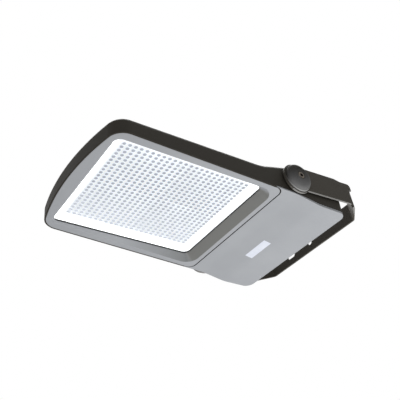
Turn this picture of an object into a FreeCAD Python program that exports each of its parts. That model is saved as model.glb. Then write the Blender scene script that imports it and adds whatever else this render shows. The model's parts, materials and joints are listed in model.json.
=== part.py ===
import FreeCAD, Part
import Sketcher
import os
import re

doc = FreeCAD.newDocument("FloodLight")
Vector = FreeCAD.Vector
Rotation = FreeCAD.Rotation
Placement = FreeCAD.Placement

# Driving sizes in millimetres. The light is drawn about its pivot axis: X runs to the rear,
# Y to the far side and Z to the back of the head, so the lit face looks along -Z.
SIZES = {
    # plan of the head
    "front_length": 414.5,
    "rear_length": 131,
    "rear_half": 166.5,
    "side_taper": 6.5,
    "bow_radius": 610,
    "front_round": 34,
    "rear_round": 19,
    # side profile of the head
    "rim_front": 21,
    "rim_rear": 33.6,
    "cover_drop": 45.5,
    "curve_start": -1.5,
    "curve_end": 56.5,
    "curve_round": 110,
    "back_rise": 13.4,
    "gear_rise": 34,
    "hump_start": 82,
    "hump_end": 5,
    "hump_round": 100,
    "edge_round": 10,
    # walls and seats of the housing
    "wall": 2.6,
    "fit_gap": 0.4,
    "ledge_drop": 9.4,
    "led_ceiling": 9.9,
    "gear_ceiling": 29,
    "gear_wall": 16,
    # frame and glass
    "gap_length": 35.5,
    "joint_gap": 2.4,
    "frame_round": 16,
    "front_margin": 31.6,
    "rear_margin": 29.4,
    "side_margin": 30.5,
    "window_round": 12,
    "corner_flare": 1.2,
    "side_flare": 1.0,
    "rear_flare": 1.3,
    "front_flare": 0.8,
    "glass_drop": 16.9,
    "glass_thick": 5,
    "glass_lap": 6,
    "glass_seal": 1.2,
    "chamber_gap": 2,
    "seal_width": 5,
    # gear cover
    "cover_lip": 2.8,
    "cover_edge": 5,
    "cover_seal": 1,
    "cover_rib": 3,
    "cover_rib_height": 8,
    "cover_seal_width": 4,
    # cooling fins
    "fin_thick": 4,
    "fin_pitch": 20,
    "fin_margin": 39,
    "fin_slope": 22,
    "fin_gap": 16,
    # light engine
    "lens_margin_long": 19.8,
    "lens_margin_wide": 13.6,
    "reflector_thick": 1.2,
    "board_gap": 0.4,
    "board_thick": 1.6,
    "lens_thick": 2,
    "lens_height": 3.5,
    "lens_land": 3.4,
    # pivot
    "boss_gap": 1.5,
    "boss_step": 1.4,
    "boss_core": 15,
    "washer_inset": 3,
    "washer_thick": 1.55,
    "screw_radius": 6,
    "screw_head_radius": 8,
    "screw_head_height": 9,
    "screw_grip": 22,
    "socket_radius": 4,
    "socket_depth": 5,
    "run_gap": 0.05,
    "cap_radius": 32,
    "cap_height": 14,
    "cap_bevel": 9.5,
    "cap_crown": 6,
    "cap_floor": 4,
    # bracket
    "strip_thick": 4,
    "strip_width": 55,
    "strip_lift": 3.7,
    "arm_step": 3.6,
    "shoulder_start": 114,
    "shoulder_run": 17,
    "tab_reach": 6,
    "tab_gap": 0.8,
    "tab_round": 8,
    "bar_width": 42,
    "bar_drop": 7.7,
    "arm_end_radius": 33.5,
    "pivot_reach": 193,
    "corner_cut": 39,
    "bend_radius": 6,
    "mount_hole_radius": 7,
    "slot_radius": 7,
    "slot_length": 26,
    "slot_side": 65.5,
    "rest_tilt": 3.5,
    # gear and small parts
    "tray_thick": 2,
    "tray_start": 2,
    "tray_length": 96,
    "tray_margin": 18.5,
    "tray_lip": 10,
    "driver_length": 62,
    "driver_width": 200,
    "driver_height": 36,
    "driver_ear": 12,
    "driver_round": 5,
    "module_gap": 8,
    "terminal_length": 24,
    "terminal_width": 44,
    "terminal_height": 18,
    "surge_length": 40,
    "surge_width": 44,
    "surge_height": 22,
    "gland_side": 92,
    "gland_radius": 10,
    "gland_flange_radius": 14,
    "gland_flange": 6,
    "gland_cap": 18,
    "gland_bore_radius": 7.5,
    "cable_radius": 5,
    "locknut_thick": 5,
    "vent_radius": 6,
    "vent_flange_radius": 9,
    "vent_flange": 6,
    "lead_side": 60,
    "lead_height": 2,
    "lead_radius": 4,
    "grommet_radius": 7,
    "grommet_flange": 2.5,
    "small_screw_radius": 2.5,
    "small_head_radius": 4.2,
    "small_head_height": 4,
    "sink_gap": 1,
    "frame_grip": 8,
    "cover_grip": 4,
    "frame_screw_seat": 5,
    "cover_screw_seat": 12,
    "frame_screw_inset": 7,
    "cover_screw_inset": 7,
}

# The lenses stand in a square grid on four boards, and pads over groups of them are modelled
LENSES = 24
BOARD_LENSES = LENSES // 2
LENS_BLOCK = 4

# Sizes that follow from the driving ones
DERIVED = {
    "front_half": "rear_half - side_taper",
    "window_length": "front_length - front_margin - gap_length - rear_margin",
    "window_middle": "gap_length + rear_margin + window_length / 2",
    "window_width": "2 * rear_half - 2 * side_margin",
    "lens_pitch_long": "(window_length - 2 * lens_margin_long) / %d" % LENSES,
    "lens_pitch_wide": "(window_width - 2 * lens_margin_wide) / %d" % LENSES,
    "rim_slope": "(rim_rear - rim_front) / (front_length - gap_length)",
    "boss_radius": "rim_rear + rim_slope * gap_length - cover_lip - cover_seal - boss_gap",
    "boss_face": "rear_half + boss_step",
    "arm_inside": "boss_face + washer_thick + run_gap",
    "fin_front": "front_length - fin_margin",
    "fin_rear": "hump_start + fin_gap",
    "tray_width": "2 * (rear_half - gear_wall - tray_margin)",
    "bend_line": "pivot_reach - corner_cut",
    "bend_start": "bend_line - 0.41421356 * (bend_radius + strip_thick)",
    "arm_top": "strip_lift + strip_width / 2",
    "shoulder": "arm_top - arm_step",
    "arm_low": "arm_top - strip_width",
    "bar_low": "arm_low - bar_drop",
    "bar_top": "bar_low + bar_width",
    "mount_drop": "-bar_low - bar_width / 2",
}
NAMES = {**SIZES, **DERIVED}

sheet = doc.addObject("Spreadsheet::Sheet", "sizes")
for row, (alias, number) in enumerate(NAMES.items(), start=1):
    sheet.set("A%d" % row, alias)
    sheet.setAlias("B%d" % row, alias)
for row, (alias, number) in enumerate(NAMES.items(), start=1):
    sheet.set("B%d" % row, "=" + number if alias in DERIVED else str(number))
doc.recompute()


def size(alias):
    return float(sheet.get(alias))


def amount(text):
    """Value of a plain sum of sizes, such as wall + fit_gap."""
    value = 0.0
    sign = 1
    for word in text.split():
        if word in ("+", "-"):
            sign = 1 if word == "+" else -1
        else:
            value += sign * (size(word) if word in NAMES else float(word))
    return value


def formula(text):
    """The text with each size written as its cell."""
    def cell(match):
        word = match.group()
        return "sizes." + word if word in NAMES else word
    return re.sub(r"[a-z][a-z_]+", cell, str(text))


def bind(item, formulas):
    for name, text in formulas.items():
        item.setExpression(name, formula(text))


def stand_at(item, corner):
    bind(item, {"Placement.Base." + axis: text for axis, text in zip("xyz", corner)})
    return item


# Building blocks

AXES = {"X": Rotation(Vector(0, 1, 0), 90), "Y": Rotation(Vector(1, 0, 0), -90), "Z": Rotation()}
SKETCH_TURN = {"XY": Rotation(), "XZ": Rotation(Vector(1, 0, 0), 90)}


def block(name, corner, extent):
    item = doc.addObject("Part::Box", name)
    bind(item, {"Length": extent[0], "Width": extent[1], "Height": extent[2]})
    return stand_at(item, corner)


def rod(name, axis, radius, length, base):
    item = doc.addObject("Part::Cylinder", name)
    item.Placement = Placement(Vector(), AXES[axis])
    bind(item, {"Radius": radius, "Height": length})
    return stand_at(item, base)


def sided_rod(name, axis, sides, radius, length, base):
    item = doc.addObject("Part::Prism", name)
    item.Polygon = sides
    item.Placement = Placement(Vector(), AXES[axis])
    bind(item, {"Circumradius": radius, "Height": length})
    return stand_at(item, base)


def side_rod(name, side, radius, inner, outer, sides=0):
    """A rod along Y on one side of the head, between two distances from its middle."""
    base = ("0", inner if side > 0 else "-(%s)" % outer, "0")
    length = "(%s) - (%s)" % (outer, inner)
    if sides:
        return sided_rod(name, "Y", sides, radius, length, base)
    return rod(name, "Y", radius, length, base)


def fuse(name, items):
    item = doc.addObject("Part::MultiFuse", name)
    item.Shapes = items
    item.Refine = True
    return item


def cut(name, base, tools):
    item = doc.addObject("Part::Cut", name)
    item.Base = base
    item.Tool = tools[0] if len(tools) == 1 else fuse(name + "_tools", tools)
    item.Refine = True
    return item


def common(name, items):
    item = doc.addObject("Part::MultiCommon", name)
    item.Shapes = items
    item.Refine = True
    return item


def group(name, items):
    item = doc.addObject("Part::Compound", name)
    item.Links = items
    return item


def rounded(name, base, radius, wanted, kind="Part::Fillet"):
    doc.recompute()
    item = doc.addObject(kind, name)
    item.Base = base
    edges = enumerate(base.Shape.Edges, start=1)
    item.Edges = [(index, radius, radius) for index, edge in edges if wanted(edge)]
    return item


def upright(edge):
    first, last = (edge.valueAt(at) for at in edge.ParameterRange)
    return abs(first.x - last.x) + abs(first.y - last.y) < 1e-4


def crosswise(edge, reach):
    """True for a straight edge along Y at a given X."""
    first, last = (edge.valueAt(at) for at in edge.ParameterRange)
    along_y = abs(first.x - last.x) + abs(first.z - last.z) < 1e-4
    return along_y and abs(first.x - reach) < 0.1


def tile(name, corner, extent, radius):
    return rounded(name, block(name + "_block", corner, extent), radius, upright)


def polygon(name, plane, points):
    sketch = doc.addObject("Sketcher::SketchObject", name)
    sketch.Placement = Placement(Vector(), SKETCH_TURN[plane])
    count = len(points)
    turn = Rotation(Vector(0, 0, 1), 360 / count)
    spots = [Vector(1, 0, 0)]
    while len(spots) < count:
        spots.append(turn.multVec(spots[-1]))
    for i in range(count):
        sketch.addGeometry(Part.LineSegment(spots[i], spots[(i + 1) % count]))
    for i in range(count):
        sketch.addConstraint(Sketcher.Constraint("Coincident", i, 2, (i + 1) % count, 1))
    for i, (across, along) in enumerate(points):
        for kind, text in (("DistanceX", across), ("DistanceY", along)):
            index = sketch.addConstraint(Sketcher.Constraint(kind, -1, 1, i, 1, 1.0))
            sketch.setExpression("Constraints[%d]" % index, formula(text))
    return sketch


def extrusion(name, sketch, length, symmetric, base):
    item = doc.addObject("Part::Extrusion", name)
    item.Base = sketch
    item.DirMode = "Normal"
    item.Solid = True
    item.Symmetric = symmetric
    bind(item, {"LengthFwd": length})
    return stand_at(item, base)


def prism(name, plane, points, length, start="0"):
    """A straight prism: an XY outline rises from start, an XZ outline is centred on Y."""
    sketch = polygon(name + "_sketch", plane, points)
    return extrusion(name, sketch, length, plane == "XZ", ("0", "0", start))


NODES = {}


def node(label, item, tilts=True):
    item.Label = label
    NODES[label] = (item, tilts)
    return item


# Shared outlines of the head

ACROSS = "(3 * rear_half)"
BELOW = "(-2 * cover_drop)"
HORN = "(gap_length + frame_round + joint_gap)"
COVER_UNDER = ("0", "0")
COVER_MIDDLE = ("cover_lip / 2", "cover_edge / 2")
COVER_TOP = ("cover_lip", "cover_edge")
COVER_RIB = ("cover_lip + cover_rib_height", "cover_edge + cover_rib_height")
HOUSING_LOW = ("(cover_lip + cover_seal)", "(cover_edge + cover_seal)")
GLASS_TOP = "(glass_thick - glass_drop)"
GLASS_SEAT = "(-glass_drop - glass_seal)"
WINDOW_FRONT = "(-window_middle - window_length / 2)"


def rim_at(x):
    """Height of the rim plane below the pivot."""
    return "(-rim_rear - rim_slope * ((%s) + gap_length))" % x


def half_at(x):
    """Half width of the tapered part of the head."""
    return "(rear_half + (rear_half - front_half) * (%s) / front_length)" % x


def head_plan(name, inset, bottom, top):
    """The head's outline in plan, drawn in by an inset, between two heights."""
    rear = "rear_length - (%s)" % inset
    slim = "(front_half - (%s))" % inset
    wide = "(rear_half - (%s))" % inset
    outline = [("-front_length", "-" + slim), ("0", "-" + wide), (rear, "-" + wide),
               (rear, wide), ("0", wide), ("-front_length", slim)]
    height = "(%s) - (%s)" % (top, bottom)
    slab = prism(name + "_slab", "XY", outline, height, bottom)
    bow_middle = ("bow_radius - front_length", "0", bottom)
    bow = rod(name + "_bow", "Z", "bow_radius - (%s)" % inset, height, bow_middle)
    sharp = common(name + "_sharp", [slab, bow])
    nose = rounded(name + "_nose", sharp, size("front_round") - amount(inset),
                   lambda edge: upright(edge) and edge.Vertexes[0].X < -size("front_length") / 2)
    rear_edge = size("rear_length") - amount(inset)
    return rounded(name, nose, max(size("rear_round") - amount(inset), size("wall")),
                   lambda edge: upright(edge) and abs(edge.Vertexes[0].X - rear_edge) < 0.1)


def frame_plan(name, grow, bottom, top):
    """The frame's outline in plan, grown by a gap."""
    inset = "wall + fit_gap - %s" % grow
    plan = head_plan(name + "_plan", inset, bottom, top)
    rear = "-gap_length + (%s)" % grow
    limit = block(name + "_limit", ("-2 * front_length", "-" + ACROSS + " / 2", bottom),
                  ("2 * front_length + (%s)" % rear, ACROSS, "(%s) - (%s)" % (top, bottom)))
    sharp = common(name + "_square", [plan, limit])
    rear_edge = amount("0 - gap_length + %s" % grow)
    return rounded(name, sharp, amount("frame_round + %s" % grow),
                   lambda edge: upright(edge) and abs(edge.Vertexes[0].X - rear_edge) < 0.1)


def cover_line(lifts):
    """Lower line of the gear cover from front to rear, raised by a front and a rear lift."""
    front, rear = lifts
    return [("-" + HORN, rim_at("-" + HORN) + " + " + front),
            ("curve_start", rim_at("curve_start") + " + " + front),
            ("curve_end", "-cover_drop + " + rear),
            ("2 * rear_length", "-cover_drop + " + rear)]


def curved(name, base):
    """The two bends of the cover line made round."""
    return rounded(name, base, size("curve_round"),
                   lambda edge: crosswise(edge, size("curve_start")) or crosswise(edge, size("curve_end")))


def cover_band(name, low, high):
    """A band that follows the cover line between two lifts."""
    line = cover_line(low) + cover_line(high)[::-1]
    return curved(name, prism(name + "_prism", "XZ", line, ACROSS))


def window_tile(name, grow, bottom, top):
    """A tile on the window's middle, larger than the window by a margin all round."""
    return tile(name, (WINDOW_FRONT + " - (%s)" % grow, "-window_width / 2 - (%s)" % grow, bottom),
                ("window_length + 2 * (%s)" % grow, "window_width + 2 * (%s)" % grow,
                 "(%s) - (%s)" % (top, bottom)),
                amount("window_round + " + grow))


# Screws that are sunk into the back of the housing: place, seat height and point height

FRAME_SCREWS = []
COVER_SCREWS = []
for side in ("-", ""):
    for reach in ("-0.85 * front_length", "-0.25 * front_length"):
        FRAME_SCREWS.append((reach, side + "(%s - wall - frame_screw_inset)" % half_at(reach)))
    COVER_SCREWS.append(("rear_length - rear_round", side + "(rear_half - cover_screw_inset)"))
SCREW_SIDES = 12
ROUND_SIDES = 16


def sunk_screw(name, place, seat, point):
    length = "(%s) - (%s)" % (seat, point)
    shank = sided_rod(name + "_shank", "Z", SCREW_SIDES, "small_screw_radius", length, (*place, point))
    head = sided_rod(name + "_head", "Z", SCREW_SIDES, "small_head_radius", "small_head_height",
                     (*place, seat))
    return fuse(name, [shank, head])


def sunk_hole(name, place, seat, point):
    radius = "small_screw_radius + run_gap"
    length = "(%s) - (%s)" % (seat, point)
    shank = sided_rod(name + "_bore", "Z", SCREW_SIDES, radius, length, (*place, point))
    sink = sided_rod(name + "_sink", "Z", SCREW_SIDES, "small_head_radius + sink_gap", "2 * gear_rise",
                     (*place, seat))
    return [shank, sink]


FRAME_SEAT = "(frame_screw_seat - ledge_drop + small_head_height)"
FRAME_POINT = "(%s - frame_grip)" % GLASS_TOP
COVER_SEAT = "(%s - cover_drop + cover_screw_seat)" % HOUSING_LOW[1]
COVER_POINT = "(cover_edge - cover_drop - cover_grip)"


# Housing: one casting with side walls, cooling fins, gear hump and pivot bosses

def housing_body():
    front = "(-front_length - edge_round)"
    rear = "2 * rear_length"
    line = [(front, rim_at(front)), ("-" + HORN, rim_at("-" + HORN))] + cover_line(HOUSING_LOW)
    line += [(rear, "gear_rise"), ("-hump_end", "gear_rise")]
    line += [("-hump_start", "back_rise"), (front, "back_rise")]
    side = curved("housing_curved", prism("housing_side", "XZ", line, ACROSS))
    side = rounded("housing_hump", side, size("hump_round"),
                   lambda edge: crosswise(edge, -size("hump_end")) or crosswise(edge, -size("hump_start")))
    shell = common("housing_shell", [head_plan("housing_plan", "0", BELOW, "2 * gear_rise"), side])
    hump = size("hump_start") + size("hump_round")

    def back_edge(edge):
        first, last = (edge.valueAt(at) for at in edge.ParameterRange)
        inside = crosswise(edge, first.x) and -hump < first.x < 0
        return not upright(edge) and not inside and min(first.z, last.z) > size("back_rise") - 0.1
    return rounded("housing_round", shell, size("edge_round"), back_edge)


def cooling_fins():
    line = [("-fin_front", "led_ceiling + 1"), ("-fin_front", "back_rise + 2"),
            ("-fin_front + fin_slope", "gear_rise"), ("-fin_rear - fin_slope", "gear_rise"),
            ("-fin_rear", "back_rise + 2"), ("-fin_rear", "led_ceiling + 1")]
    sketch = polygon("fin_sketch", "XZ", line)
    count = int(size("front_half") - 1.5 * size("fin_pitch")) // int(size("fin_pitch"))
    return [extrusion("fin_%d" % (i + count), sketch, "fin_thick", True, ("0", "%d * fin_pitch" % i, "0"))
            for i in range(-count, count + 1)]


def housing_hollows():
    chamber = window_tile("led_chamber", "chamber_gap", BELOW, "led_ceiling")
    seat = frame_plan("frame_seat", "fit_gap", BELOW, "-ledge_drop")
    gear_plan = head_plan("gear_plan", "gear_wall", BELOW, "gear_ceiling")
    gear_limit = block("gear_limit", ("gear_wall - gap_length", "-" + ACROSS + " / 2", BELOW),
                       ("2 * rear_length", ACROSS, "gear_ceiling - " + BELOW))
    return [chamber, seat, common("gear_space", [gear_plan, gear_limit])]


def housing():
    bosses = []
    cores = []
    bores = []
    for word, side in (("near", -1), ("far", 1)):
        bosses.append(side_rod("boss_" + word, side, "boss_radius", "rear_half - gear_wall", "boss_face",
                               2 * ROUND_SIDES))
        cores.append(side_rod("core_" + word, side, "boss_core", "boss_face - screw_grip - wall",
                              "rear_half - wall", ROUND_SIDES))
        bores.append(side_rod("pivot_bore_" + word, side, "screw_radius + run_gap",
                              "boss_face - screw_grip", "boss_face + 1"))
    outside = fuse("housing_outside", [housing_body()] + cooling_fins() + bosses)
    hollow = cut("housing_hollow", outside, housing_hollows())
    cored = fuse("housing_cored", [hollow] + cores)
    holes = bores
    for i, place in enumerate(FRAME_SCREWS):
        holes += sunk_hole("frame_hole_%d" % i, place, FRAME_SEAT, BELOW)
    for i, place in enumerate(COVER_SCREWS):
        holes += sunk_hole("cover_hole_%d" % i, place, COVER_SEAT, BELOW)
    rear_inside = "(rear_length - 2 * gear_wall)"
    lead_start = "-gap_length - 2 * gear_wall"
    for name, radius, base in (("gland_hole", "gland_radius", (rear_inside, "gland_side", "0")),
                               ("vent_hole", "vent_radius", (rear_inside, "-gland_side", "0")),
                               ("lead_hole", "grommet_radius", (lead_start, "lead_side", "lead_height"))):
        holes.append(sided_rod(name, "X", ROUND_SIDES, radius + " + run_gap", "3 * gear_wall", base))
    return node("rear_housing", cut("housing", cored, holes))


# Frame, glass and their seals

def window_wire(depth):
    """The window's outline at a depth below the glass seat, wider where the walls flare."""
    front = -size("window_middle") - size("window_length") / 2 - depth * size("front_flare")
    rear = -size("window_middle") + size("window_length") / 2 + depth * size("rear_flare")
    half = size("window_width") / 2 + depth * size("side_flare")
    height = amount("0 - glass_drop - glass_seal") - depth
    sheet_box = Part.makeBox(rear - front, 2 * half, 1, Vector(front, -half, height))
    corners = [edge for edge in sheet_box.Edges if upright(edge)]
    soft_box = sheet_box.makeFillet(size("window_round") + depth * size("corner_flare"), corners)
    lower = min(soft_box.Faces, key=lambda face: face.CenterOfMass.z)
    return lower.OuterWire


def front_frame():
    plate = frame_plan("frame_outline", "0", BELOW, GLASS_TOP)
    front = "(-front_length - edge_round)"
    line = [(front, rim_at(front)), ("0", rim_at("0")), ("0", GLASS_TOP), (front, GLASS_TOP)]
    body = common("frame_body", [plate, prism("frame_side", "XZ", line, ACROSS)])
    flare = doc.addObject("Part::Feature", "window_flare")
    flare.Shape = Part.makeLoft([window_wire(0), window_wire(size("rim_rear"))], True, True)
    glass_seat = window_tile("glass_seat", "glass_lap + fit_gap", GLASS_SEAT, "1")
    threads = []
    for i, place in enumerate(FRAME_SCREWS):
        threads.append(sided_rod("frame_thread_%d" % i, "Z", SCREW_SIDES, "small_screw_radius + run_gap",
                                 "2 * frame_grip", (*place, FRAME_POINT)))
    return node("front_frame", cut("frame", body, [flare, glass_seat] + threads))


def glazing():
    node("front_glass", window_tile("glass", "glass_lap", "-glass_drop", GLASS_TOP))
    seat = window_tile("glass_seal_outer", "glass_lap", GLASS_SEAT, "-glass_drop")
    hole = window_tile("glass_seal_inner", "glass_seal", BELOW, "1")
    node("glass_gasket", cut("glass_seal_ring", seat, [hole]))
    outer = window_tile("frame_seal_outer", "chamber_gap + seal_width", GLASS_TOP, "-ledge_drop")
    inner = window_tile("frame_seal_inner", "chamber_gap + 0.2", BELOW, "1")
    node("frame_gasket", cut("frame_seal_ring", outer, [inner]))


# Gear cover: a curved plate with a rib that stands inside the gear space

def gear_cover():
    plan = head_plan("cover_plan", "0", BELOW, "0")
    plate = common("cover_plate", [plan, cover_band("cover_sheet", COVER_UNDER, COVER_TOP)])
    rib_outer = head_plan("rib_outer", "gear_wall + fit_gap", BELOW, "0")
    rib_inner = head_plan("rib_inner", "gear_wall + fit_gap + cover_rib", BELOW, "0")
    rib_limit = block("rib_limit", ("gear_wall + fit_gap - gap_length", "-" + ACROSS + " / 2", BELOW),
                      ("2 * rear_length", ACROSS, "-" + BELOW))
    band = cover_band("rib_band", COVER_MIDDLE, COVER_RIB)
    rib = cut("rib_ring", common("rib_block", [rib_outer, rib_limit, band]), [rib_inner])
    threads = []
    for i, place in enumerate(COVER_SCREWS):
        threads.append(sided_rod("cover_thread_%d" % i, "Z", SCREW_SIDES, "small_screw_radius + run_gap",
                                 "2 * cover_edge", (*place, COVER_POINT)))
    clear = frame_plan("cover_clear", "joint_gap", BELOW, "1")
    return node("gear_cover", cut("cover", fuse("cover_body", [plate, rib]), [clear] + threads))


def cover_gasket():
    inset = "gear_wall - cover_seal_width - fit_gap"
    outer = head_plan("seal_plan", inset, BELOW, "0")
    inner = head_plan("seal_inner", "gear_wall - fit_gap", BELOW, "1")
    edge = "-" + ACROSS + " / 2"
    limit = block("seal_limit", ("gear_wall - cover_seal_width - fit_gap - gap_length", edge, BELOW),
                  ("2 * rear_length", ACROSS, "-" + BELOW))
    inner_limit = block("seal_inner_limit", ("gear_wall - fit_gap - gap_length", edge, BELOW),
                        ("2 * rear_length", ACROSS, "1 - " + BELOW))
    band = cover_band("seal_band", COVER_TOP, HOUSING_LOW)
    hole = common("seal_hole", [inner, inner_limit])
    return node("cover_gasket", cut("cover_seal_ring", common("seal_block", [outer, limit, band]), [hole]))


# Light engine: a white reflector tray round four boards in two rows, each under a lens sheet

def reflector():
    grow = "chamber_gap - fit_gap"
    outside = window_tile("reflector_outside", grow, GLASS_TOP + " + fit_gap", "led_ceiling")
    inside = window_tile("reflector_inside", grow + " - reflector_thick", BELOW,
                         "led_ceiling - reflector_thick")
    long = "(%d * lens_pitch_long + board_gap)" % LENSES
    wide = "(%d * lens_pitch_wide + board_gap)" % LENSES
    field = block("reflector_field", ("-window_middle - %s / 2" % long, "-%s / 2" % wide, BELOW),
                  (long, wide, "2 * led_ceiling - " + BELOW))
    node("reflector_tray", cut("reflector", outside, [inside, field]))


def light_engine():
    long = "(%d * lens_pitch_long - board_gap)" % BOARD_LENSES
    wide = "(%d * lens_pitch_wide - board_gap)" % BOARD_LENSES
    board_low = "led_ceiling - board_thick"
    lens_low = "led_ceiling - board_thick - lens_thick"
    number = 0
    for front in (-1, 0):
        for near in (-1, 0):
            number += 1
            x = "(-window_middle + %d * %d * lens_pitch_long + board_gap / 2)" % (front, BOARD_LENSES)
            y = "(%d * %d * lens_pitch_wide + board_gap / 2)" % (near, BOARD_LENSES)
            board = block("board_sheet_%d" % number, (x, y, board_low), (long, wide, "board_thick"))
            node("led_board_%d" % number, group("board_%d" % number, [board]))
            sheet_base = block("lens_sheet_%d" % number, (x, y, lens_low), (long, wide, "lens_thick"))
            lenses = [sheet_base]
            for i in range(0, BOARD_LENSES, LENS_BLOCK):
                for j in range(0, BOARD_LENSES, LENS_BLOCK):
                    corner = (x + " + %d * lens_pitch_long + lens_land / 2" % i,
                              y + " + %d * lens_pitch_wide + lens_land / 2" % j, lens_low + " - lens_height")
                    extent = ("%d * lens_pitch_long - lens_land" % LENS_BLOCK,
                              "%d * lens_pitch_wide - lens_land" % LENS_BLOCK, "lens_height")
                    lenses.append(block("lens_%d_%d_%d" % (number, i, j), corner, extent))
            node("lens_plate_%d" % number, fuse("lenses_%d" % number, lenses))


# Gear inside the compartment

def gear():
    under_tray = "(gear_ceiling - tray_thick)"
    tray = block("tray_block", ("tray_start", "-tray_width / 2", "gear_ceiling - tray_lip"),
                 ("tray_length", "tray_width", "tray_lip"))
    tray_inside = block("tray_inside",
                        ("tray_start + tray_thick", "-tray_width", "gear_ceiling - 2 * tray_lip"),
                        ("tray_length - 2 * tray_thick", "2 * tray_width", "2 * tray_lip - tray_thick"))
    node("gear_tray", cut("tray", tray, [tray_inside]))
    middle = "(tray_start + tray_length / 2)"
    driver_start = "(-tray_width / 2 + driver_ear)"
    case = tile("driver_case",
                (middle + " - driver_length / 2", driver_start, under_tray + " - driver_height"),
                ("driver_length", "driver_width - 2 * driver_ear", "driver_height"), size("driver_round"))
    ears = block("driver_ears", (middle + " - driver_ear", driver_start + " - driver_ear + fit_gap",
                                 under_tray + " - tray_thick"),
                 ("2 * driver_ear", "driver_width - 2 * fit_gap", "tray_thick"))
    node("led_driver", fuse("driver", [case, ears]))
    modules = driver_start + " + driver_width - driver_ear"
    block_start = "tray_start + tray_thick + fit_gap"
    terminal = block("terminal_body", (block_start, modules, under_tray + " - terminal_height"),
                     ("terminal_length", "terminal_width", "terminal_height"))
    ways = []
    for i in range(3):
        ways.append(block("terminal_way_%d" % i, (block_start + " + terminal_length / 4",
                                                  modules + " + terminal_width * %d / 12" % (4 * i + 1),
                                                  under_tray + " - terminal_height"),
                          ("terminal_length / 2", "terminal_width / 6", "terminal_height / 2")))
    node("terminal_block", cut("terminal", terminal, ways))
    surge_start = block_start + " + terminal_length + module_gap"
    potted = block("surge_body", (surge_start, modules, under_tray + " - surge_height"),
                   ("surge_length", "surge_width", "surge_height"))
    node("surge_protector", group("surge", [potted]))


def rear_fittings():
    rear = "rear_length"
    inside = "(rear_length - gear_wall)"
    thread = sided_rod("gland_thread", "X", ROUND_SIDES, "gland_radius", "gear_wall + locknut_thick + 1",
                       (inside + " - locknut_thick - 1", "gland_side", "0"))
    flange = sided_rod("gland_hex", "X", 6, "gland_flange_radius", "gland_flange", (rear, "gland_side", "0"))
    bore = sided_rod("gland_bore", "X", ROUND_SIDES, "gland_bore_radius", "4 * gear_wall",
                     (inside + " - gear_wall", "gland_side", "0"))
    node("cable_gland", cut("gland", fuse("gland_body", [thread, flange]), [bore]))
    cap_base = (rear + " + gland_flange", "gland_side", "0")
    cap = sided_rod("gland_cap_body", "X", ROUND_SIDES, "gland_flange_radius - sink_gap", "gland_cap",
                    cap_base)
    cap_bore = sided_rod("gland_cap_bore", "X", ROUND_SIDES, "cable_radius + sink_gap", "2 * gland_cap",
                         cap_base)
    node("gland_nut", cut("gland_nut_body", cap, [cap_bore]))
    sleeve = sided_rod("gland_sleeve", "X", ROUND_SIDES, "gland_bore_radius - run_gap",
                       "gear_wall + gland_flange", (inside, "gland_side", "0"))
    cable_bore = rod("cable_bore", "X", "cable_radius", "4 * gear_wall",
                     (inside + " - gear_wall", "gland_side", "0"))
    node("gland_seal", cut("gland_seal_body", sleeve, [cable_bore]))
    locknut = sided_rod("locknut_hex", "X", 6, "gland_flange_radius", "locknut_thick",
                        (inside + " - locknut_thick", "gland_side", "0"))
    locknut_bore = sided_rod("locknut_bore", "X", ROUND_SIDES, "gland_radius + run_gap", "4 * locknut_thick",
                             (inside + " - 2 * locknut_thick", "gland_side", "0"))
    node("gland_locknut", cut("locknut", locknut, [locknut_bore]))
    plug = sided_rod("vent_plug", "X", ROUND_SIDES, "vent_radius", "gear_wall", (inside, "-gland_side", "0"))
    vent_head = sided_rod("vent_head", "X", 6, "vent_flange_radius", "vent_flange",
                          (rear, "-gland_side", "0"))
    node("breather_vent", fuse("vent", [plug, vent_head]))
    wall_face = "(gear_wall - gap_length)"
    body = sided_rod("grommet_body", "X", ROUND_SIDES, "grommet_radius", "gear_wall",
                     (wall_face + " - gear_wall", "lead_side", "lead_height"))
    lip = sided_rod("grommet_lip", "X", ROUND_SIDES, "grommet_radius + grommet_flange", "grommet_flange",
                    (wall_face, "lead_side", "lead_height"))
    lead = sided_rod("grommet_hole", "X", ROUND_SIDES, "lead_radius", "4 * gear_wall",
                     (wall_face + " - 2 * gear_wall", "lead_side", "lead_height"))
    node("lead_grommet", cut("grommet", fuse("grommet_solid", [body, lip]), [lead]))


def fasteners():
    frame_screws = [sunk_screw("frame_screw_%d" % i, place, FRAME_SEAT, FRAME_POINT)
                    for i, place in enumerate(FRAME_SCREWS)]
    node("frame_screws", group("frame_screw_set", frame_screws))
    cover_screws = [sunk_screw("cover_screw_%d" % i, place, COVER_SEAT, COVER_POINT)
                    for i, place in enumerate(COVER_SCREWS)]
    node("cover_screws", group("cover_screw_set", cover_screws))


# Pivots and bracket

def pivot_cap(word, side):
    """A low domed cap of flat facets, with a seat for the screw."""
    base = "arm_inside + strip_thick"
    disc = side_rod("cap_disc_" + word, side, "cap_radius", base, base + " + cap_height", 2 * ROUND_SIDES)
    top = amount(base + " + cap_height")

    def crest(edge):
        return all(abs(abs(corner.Y) - top) < 1e-4 for corner in edge.Vertexes)
    slope = rounded("cap_slope_" + word, disc, size("cap_bevel"), crest, "Part::Chamfer")
    crown = rounded("cap_crown_" + word, slope, size("cap_crown"), crest, "Part::Chamfer")
    recess = side_rod("cap_recess_" + word, side, "screw_head_radius + fit_gap", base + " + cap_floor",
                      base + " + 2 * cap_height", 2 * SCREW_SIDES)
    hole = side_rod("cap_hole_" + word, side, "screw_radius + 2 * fit_gap", "arm_inside",
                    base + " + cap_height", ROUND_SIDES)
    node("pivot_cap_" + word, cut("cap_" + word, crown, [recess, hole]), False)


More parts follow.
